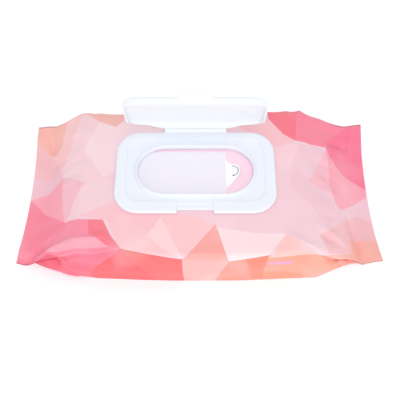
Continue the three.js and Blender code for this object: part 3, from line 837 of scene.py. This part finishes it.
def arrow_ink():
    material, tree, shader = plain_material("arrow_ink", (0.05, 0.045, 0.06), 0.5)
    grain_bump(tree, shader, 2500.0, 0.00002)
    return material


arrow.data.materials.append(arrow_ink())
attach(arrow, "pack")

# ---- The flip-top base ----
# One injection moulding of white polypropylene: a flange with a sunk tray, a raised lip round the outlet,
# and a thumb notch in front. Hot melt holds its flat underside to the pouch.

BASE_WIDTH, BASE_DEPTH, BASE_RADIUS = base_high.x - base_low.x, 56.8, 14.0
PLATE_Z = base_low.z
BASE_FRONT = -BASE_DEPTH / 2
FLOOR, FLANGE = 1.0, 2.0          # heights above the plate's underside
TRAY_WIDTH, TRAY_DEPTH, TRAY_RADIUS, TRAY_Y = 79.5, 44.1, 8.5, 0.95
OUTLET_WIDTH, OUTLET_DEPTH = 66.5, 33.2
NOTCH_HALF, NOTCH_DEPTH = 10.0, 2.3
CATCH_HALF, CATCH_HEIGHT = 8.75, 0.5
ROOT_HALF, ROOT_LENGTH = 18.25, 0.8        # the strap's root, at the middle of the back edge

# Where points are set across the moulding: closest at the sides of the notch, the tab and the strap.
half_marks = np.concatenate([
    spread(0, 6.6, 0.8)[:-1], spread(6.6, 8.6, 0.2)[:-1], spread(8.6, 9.0, 0.1)[:-1],
    spread(9.0, 9.9, 0.3)[:-1], spread(9.9, 10.5, 0.1)[:-1], spread(10.5, 12.5, 0.4)[:-1],
    spread(12.5, 17.7, 0.8)[:-1], spread(17.7, 21.7, 0.2)[:-1], spread(21.7, 29.7, 0.8)])
MARKS = np.concatenate([-half_marks[:0:-1], half_marks])
END_STEPS = 30


def moulded_ring(width, depth, radius, z, centre_y=0.0):
    """Points round a rounded rectangle: front marks, right end, back marks, left end."""
    corner_x, corner_y = width / 2 - radius, depth / 2 - radius
    marks = MARKS * min(1.0, 0.89 * width / 2 / MARKS[-1])
    reach = marks[-1]

    def edge(x):
        over = np.maximum(np.abs(x) - corner_x, 0.0)
        return corner_y + np.sqrt(np.maximum(radius ** 2 - over ** 2, 0.0))

    straight = max(corner_x - reach, 0.0)
    start = 0.0 if straight else math.asin(min((reach - corner_x) / radius, 1.0))
    bend = (math.pi / 2 - start) * radius
    total = straight + bend + corner_y
    run = np.linspace(0, total, END_STEPS + 1)[1:]
    on_bend = np.clip((run - straight) / radius, 0, math.pi / 2 - start) + start
    x = np.where(run < straight, reach + run, corner_x + radius * np.sin(on_bend))
    drop = np.where(run < straight, corner_y + radius, corner_y + radius * np.cos(on_bend))
    drop = np.where(run > straight + bend, total - run, drop)
    half_end = np.column_stack([x, -drop])
    right_end = np.concatenate([half_end, (half_end * (1, -1))[-2::-1]])
    front = np.column_stack([marks, -edge(marks)])
    back = np.column_stack([marks[::-1], edge(marks)])
    flat = np.concatenate([front, right_end, back, right_end[::-1] * (-1, 1)])
    flat[:, 1] += centre_y
    return np.column_stack([flat, np.full(len(flat), z)])


def inset_ring(width, depth, radius, z, inset, centre_y=0.0):
    return moulded_ring(width - 2 * inset, depth - 2 * inset, max(radius - inset, 0.3), z, centre_y)


def cap_over(ring_index):
    """Faces that close a ring, in strips that join its front half to its back half."""
    count, ends = len(MARKS), 2 * END_STEPS - 1
    first = ring_index * 2 * (count + ends)
    front = list(range(count))
    back = [count + ends + count - 1 - k for k in front]
    strips = [(front[k], front[k + 1], back[k + 1], back[k]) for k in range(count - 1)]
    faces = [tuple(first + i for i in strip) for strip in strips]
    for begin, step in ((count, 1), (2 * count + 2 * ends - 1, -1)):
        near = [begin + step * k for k in range(END_STEPS)]
        far = [begin + step * (ends - 1 - k) for k in range(END_STEPS)]
        near_start, far_start = (count - 1, count + ends) if step > 0 else (0, 2 * count + ends - 1)
        near, far = [near_start] + near, [far_start] + far
        for a, b, c, d in zip(near, near[1:], far[1:], far):
            corners = [first + i for i in (a, b, c, d)]
            faces.append(corners if b != c else corners[:2] + corners[3:])
    return faces


def window(x, half, ramp=0.12):
    """One within half of the middle, none outside, with a steep ramp between."""
    return np.clip((half + ramp - np.abs(x)) / (2 * ramp), 0.0, 1.0)


def flange_ring(inset, z):
    ring = inset_ring(BASE_WIDTH, BASE_DEPTH, BASE_RADIUS, z, inset)
    in_notch = window(ring[:, 0], NOTCH_HALF + min(inset, 0.3)) * (ring[:, 1] < BASE_FRONT + inset + 1.0)
    sunk = min(z, FLOOR - 0.25 * max(0.0, 1 - inset / 0.8) ** 2)
    ring[:, 1] += in_notch * NOTCH_DEPTH
    ring[:, 2] = mix(ring[:, 2], sunk, in_notch)
    at_strap = window(ring[:, 0], ROOT_HALF) * (ring[:, 1] > -BASE_FRONT - inset - 1.0)
    ring[:, 1] += at_strap * ROOT_LENGTH * share(z, 0.5, 1.0)
    return ring


def tray_ring(inset, z):
    ring = inset_ring(TRAY_WIDTH, TRAY_DEPTH, TRAY_RADIUS, z, inset, TRAY_Y)
    in_notch = window(ring[:, 0], NOTCH_HALF) * (ring[:, 1] < TRAY_Y - TRAY_DEPTH / 2 + inset + 1.0)
    ring[:, 2] = mix(ring[:, 2], min(z, FLOOR), in_notch)
    return ring


def shelf_ring(part, rib):
    """Between the flange's rim and the tray, with the catch rib standing up in the notch."""
    ring = mix(flange_ring(3.0, FLANGE), tray_ring(-0.35, FLANGE), part)
    in_notch = window(ring[:, 0], NOTCH_HALF) * (ring[:, 1] < TRAY_Y - TRAY_DEPTH / 2)
    on_rib = window(ring[:, 0], CATCH_HALF) * (ring[:, 1] < TRAY_Y - TRAY_DEPTH / 2)
    ring[:, 2] = mix(FLANGE, FLOOR, in_notch) + rib * CATCH_HEIGHT * on_rib
    return ring


def lip_ring(grow, z):
    return inset_ring(OUTLET_WIDTH, OUTLET_DEPTH, OUTLET_DEPTH / 2 - 0.1, z, -grow)


def base_rings():
    """The base's section, round its edge, over the shelf, into the tray, and up and down the lip."""
    flange = [(0.3, 0.0), (0.08, 0.1), (0.0, 0.4), (0.0, 1.15), (0.1, 1.5), (0.32, 1.78), (0.7, 1.93),
              (1.3, 1.99), (3.0, 2.0)]
    shelf = [(0.4, 0), (0.46, 0.2), (0.54, 1), (0.68, 1), (0.76, 0.2), (0.84, 0)]
    tray = [(-0.35, 2.0), (-0.13, 1.95), (-0.02, 1.8), (0.03, 1.4), (0.08, 1.12), (0.3, 1.02), (0.9, 1.0)]
    lip = [(2.5, 1.0), (2.0, 1.08), (1.7, 1.35), (1.45, 1.8), (1.25, 2.5), (1.15, 2.85), (0.95, 3.08),
           (0.65, 3.18), (0.35, 3.12), (0.12, 2.92), (0.0, 2.55), (0.0, 0.3), (0.15, 0.0)]
    rings = [flange_ring(*place) for place in flange] + [shelf_ring(*place) for place in shelf]
    rings += [tray_ring(*place) for place in tray] + [lip_ring(*place) for place in lip]
    return [ring + (CLOSURE_X, CLOSURE_Y, PLATE_Z) for ring in rings]


rings = base_rings()
base_faces = skin_between(rings, closed=True)
base_moulding = welded(mesh_object("base_moulding", np.concatenate(rings), base_faces, 32))


def white_polypropylene(name, colour):
    """Moulded plastic, satin and slightly cool, with a faint flow texture."""
    material, tree, shader = plain_material(name, colour, 0.36, IOR=1.49)
    grain_bump(tree, shader, 700.0, 0.00003, 4.0)
    return material


base_moulding.data.materials.append(white_polypropylene("white_polypropylene", (0.85, 0.89, 0.96)))
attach(base_moulding, "pack")
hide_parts("flip_top_base")

# ---- The lid ----
# Moulded in one shot with the base: a crowned cap with a skirt all round, a thumb tab at its free edge, and
# a flat strap that runs back to the hinge line. It is drawn shut, then turned open about the hinge.

HINGE_Y = BASE_DEPTH / 2 + ROOT_LENGTH + 0.3
HINGE_Z = FLANGE + 0.15
OPEN_ANGLE = 67
LID_WIDTH, LID_DEPTH, LID_RADIUS = TRAY_WIDTH - 0.7, TRAY_DEPTH - 0.7, TRAY_RADIUS - 0.35
LID_Y = TRAY_Y - HINGE_Y
RIM_Z = FLOOR + 0.3 - HINGE_Z
LID_TOP = RIM_Z + 4.4
CROWN = 1.2
SKIRT = 1.1
REAR_LIFT, LIFT_TOP = 2.0, 1.6    # the skirt is cut higher beside the strap, and straight above this
STRAP_HALF, STRAP_LENGTH, STRAP_FLARE = 18.25, 6.85, 3.0
TAB_HALF, TAB_LENGTH, TAB_CORNER = 8.75, 6.3, 2.0


def strap_reach(x):
    """How far the strap stands out from the lid's back edge, at each place across it."""
    t = np.sqrt(share(np.abs(x), STRAP_HALF, STRAP_HALF + STRAP_FLARE))
    flared = STRAP_LENGTH - (STRAP_LENGTH - 0.35) * (2 * t - t * t)
    return flared * window(x, STRAP_HALF + STRAP_FLARE, 0.1)


def tab_reach(x):
    over = np.clip(np.abs(x) - (TAB_HALF - TAB_CORNER), 0, TAB_CORNER)
    rounded = TAB_LENGTH - TAB_CORNER + np.sqrt(TAB_CORNER ** 2 - over ** 2)
    root = 1.2 * (1 - share(np.abs(x), TAB_HALF, TAB_HALF + 1.5)) ** 2
    return np.where(np.abs(x) <= TAB_HALF + 0.01, rounded, root)


def crown_height(inset):
    return LID_TOP + CROWN * math.sin(min(inset / (LID_DEPTH / 2), 1) * math.pi / 2)


def lid_ring(inset, z, strap=None, tab=None):
    """A ring of the lid, with the strap or the tab drawn out of it where (share, height) is given."""
    ring = inset_ring(LID_WIDTH, LID_DEPTH, LID_RADIUS, z, inset, LID_Y)
    x, y = ring[:, 0].copy(), ring[:, 1].copy()
    at_back = y > LID_Y + LID_DEPTH / 2 - inset - 0.6
    at_front = y < LID_Y - LID_DEPTH / 2 + inset + 0.6
    lift = ease(share(np.abs(x), STRAP_HALF, STRAP_HALF + 12)) * ease(share(y, LID_Y + 9.5, LID_Y + 20.7))
    ring[:, 2] += REAR_LIFT * lift * max(0.0, (LIFT_TOP - z) / (LIFT_TOP - RIM_Z))
    if strap:
        reach = strap_reach(x) * at_back
        ring[:, 1] += strap[0] * reach
        ring[:, 2] = mix(ring[:, 2], strap[1], np.clip(reach / 0.5, 0, 1))
    if tab:
        reach = tab_reach(x) * at_front
        ring[:, 1] -= tab[0] * reach
        ring[:, 2] = mix(ring[:, 2], tab[1], np.clip(reach / 0.6, 0, 1))
    return ring


def lid_rings():
    tab_top = LID_TOP - 0.3
    tab_low = tab_top - 1.0
    outside = [
        lid_ring(0.12, RIM_Z), lid_ring(0.0, RIM_Z + 0.15), lid_ring(0.0, RIM_Z + 0.6),
        lid_ring(0.02, 0.0, (0.0, 0.15)),
        lid_ring(0.03, 0.2, (0.95, 0.15)),
        lid_ring(0.04, 0.4, (1.0, 0.4)),
        lid_ring(0.05, 0.7, (1.0, 1.0)),
        lid_ring(0.06, 0.95, (0.95, 1.25)),
        lid_ring(0.07, 1.2, (0.12, 1.27)),
        lid_ring(0.08, 1.5, (0.02, 1.45)),
        lid_ring(0.1, 2.0, (0.0, 1.95), (0.0, tab_low)),
        lid_ring(0.12, 2.2, None, (0.95, tab_low)),
        lid_ring(0.16, 2.4, None, (1.0, tab_low + 0.25)),
        lid_ring(0.26, 2.65, None, (1.0, tab_top - 0.25)),
        lid_ring(0.42, 2.9, None, (0.95, tab_top)),
        lid_ring(0.7, 3.15, None, (0.06, tab_top + 0.02)),
        lid_ring(1.05, 3.36), lid_ring(1.5, 3.5), lid_ring(2.1, LID_TOP + 0.06),
    ]
    outside += [lid_ring(inset, crown_height(inset)) for inset in (3, 4.5, 6.5, 9, 12, 15, 18, 20.5)]
    inside_skirt = [
        (0.85, RIM_Z), (SKIRT, RIM_Z + 0.15), (SKIRT + 0.03, 0.4), (SKIRT + 0.1, 1.2), (SKIRT + 0.3, 1.7),
        (SKIRT + 0.7, 2.1), (SKIRT + 1.3, 2.35), (SKIRT + 2.0, LID_TOP - SKIRT + 0.05)]
    under = [lid_ring(*place) for place in inside_skirt]
    under += [lid_ring(inset, crown_height(inset) - SKIRT) for inset in (4.5, 6.5, 9, 12, 15, 18, 20.5)]
    return outside[::-1] + under


def opened(points):
    """Turns the shut lid to its open place and sets it on the hinge line."""
    angle = math.radians(OPEN_ANGLE)
    y, z = points[:, 1], points[:, 2]
    turned_y = y * math.cos(angle) + z * math.sin(angle)
    turned_z = z * math.cos(angle) - y * math.sin(angle)
    return np.column_stack([
        points[:, 0] + CLOSURE_X, turned_y + HINGE_Y + CLOSURE_Y, turned_z + HINGE_Z + PLATE_Z])


rings = lid_rings()
lid_faces = skin_between(rings) + cap_over(0) + cap_over(len(rings) - 1)
lid_moulding = welded(mesh_object("lid_moulding", opened(np.concatenate(rings)), lid_faces, 32))
# painted light: the lid gets a lighter copy of the base's plastic, standing in for light on its shaded inside
lid_moulding.data.materials.append(white_polypropylene("lid_polypropylene", (0.88, 0.91, 0.95)))
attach(lid_moulding, "lid")
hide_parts("flip_top_lid")

# ---- The hinge web ----
# The living hinge between base and lid: the same plastic, moulded much thinner so that it folds. It leaves
# the flange's back edge level with its top, and runs up into the strap.

WEB_HALF = STRAP_HALF - 0.1
WEB_THICKNESS = 0.36


def strap_place(along_strap, off_strap):
    """A place on the open strap, seen from the side and measured from the hinge line."""
    angle = math.radians(OPEN_ANGLE)
    return (-along_strap * math.cos(angle) + off_strap * math.sin(angle),
            along_strap * math.sin(angle) + off_strap * math.cos(angle))


def hinge_web():
    skin = 0.12
    fold = [(-1.4, -0.13), (-0.8, -0.125), (-0.5, -0.115), (-0.3, -0.09), (-0.15, -0.02), (-0.06, 0.1)]
    face = fold + [strap_place(run, skin) for run in (0.3, 0.6, 1.3)]
    behind = [(-1.4, -0.45), (-0.8, -0.45), (-0.5, -0.44), (-0.2, -0.43), (0.08, -0.35), (0.25, -0.12)]
    behind += [strap_place(run, skin + WEB_THICKNESS) for run in (0.3, 0.6, 1.3)]
    section = face + behind[::-1]
    middle_y, middle_z = HINGE_Y + CLOSURE_Y, HINGE_Z + PLATE_Z
    lines = spread(-WEB_HALF, WEB_HALF, 0.9)
    slices = [[(x + CLOSURE_X, y + middle_y, z + middle_z) for y, z in section] for x in lines]
    return welded(mesh_object("hinge_web", sum(slices, []), strip_between(slices), 50))


web = hinge_web()
# painted light: the hinge web gets a much lighter copy of the same plastic, against the shade between lid and
# base
web.data.materials.append(white_polypropylene("thin_polypropylene", (0.97, 0.99, 1.0)))
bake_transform(web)

# ---- The table, the light and the camera ----
# A wide white table under even daylight, with the camera where a person sitting at it would look down.

bpy.context.scene.view_settings.view_transform = "Standard"
world = bpy.data.worlds.new("daylight")
world.use_nodes = True
set_inputs(world.node_tree.nodes["Background"], Color=(1.0, 1.0, 1.0, 1.0), Strength=0.78)
bpy.context.scene.world = world

TABLE_HALF = 9000
table_corners = [(TABLE_HALF * x, TABLE_HALF * y, 0) for x, y in ((-1, -1), (1, -1), (1, 1), (-1, 1))]
table = mesh_object("table", table_corners, [(0, 1, 2, 3)])
table_material, _, _ = plain_material("table_white", (0.97, 0.97, 0.97), 0.8, Emission_Strength=0.2)
table.data.materials.append(table_material)


def soft_light(name, place, size, power):
    light = bpy.data.lights.new(name, "AREA")
    light.size = size
    light.energy = power
    lamp = bpy.data.objects.new(name, light)
    lamp.location = place
    lamp.rotation_euler = (-Vector(place)).to_track_quat("-Z", "Y").to_euler()
    bpy.context.scene.collection.objects.link(lamp)


soft_light("ceiling", (0.05, -0.6, 1.0), 0.6, 3.2)
soft_light("reflector", (0.1, -1.2, 0.3), 0.8, 3.0)

CAMERA_ELEVATION = 56
camera_data = bpy.data.cameras.new("camera")
camera_data.lens = 63.72
camera_data.sensor_width = 36.0
camera = bpy.data.objects.new("camera", camera_data)
camera.location = (0.0005, -0.237, 0.3565)
camera.rotation_euler = (math.radians(90 - CAMERA_ELEVATION), 0, 0)
bpy.context.scene.collection.objects.link(camera)
bpy.context.scene.camera = camera
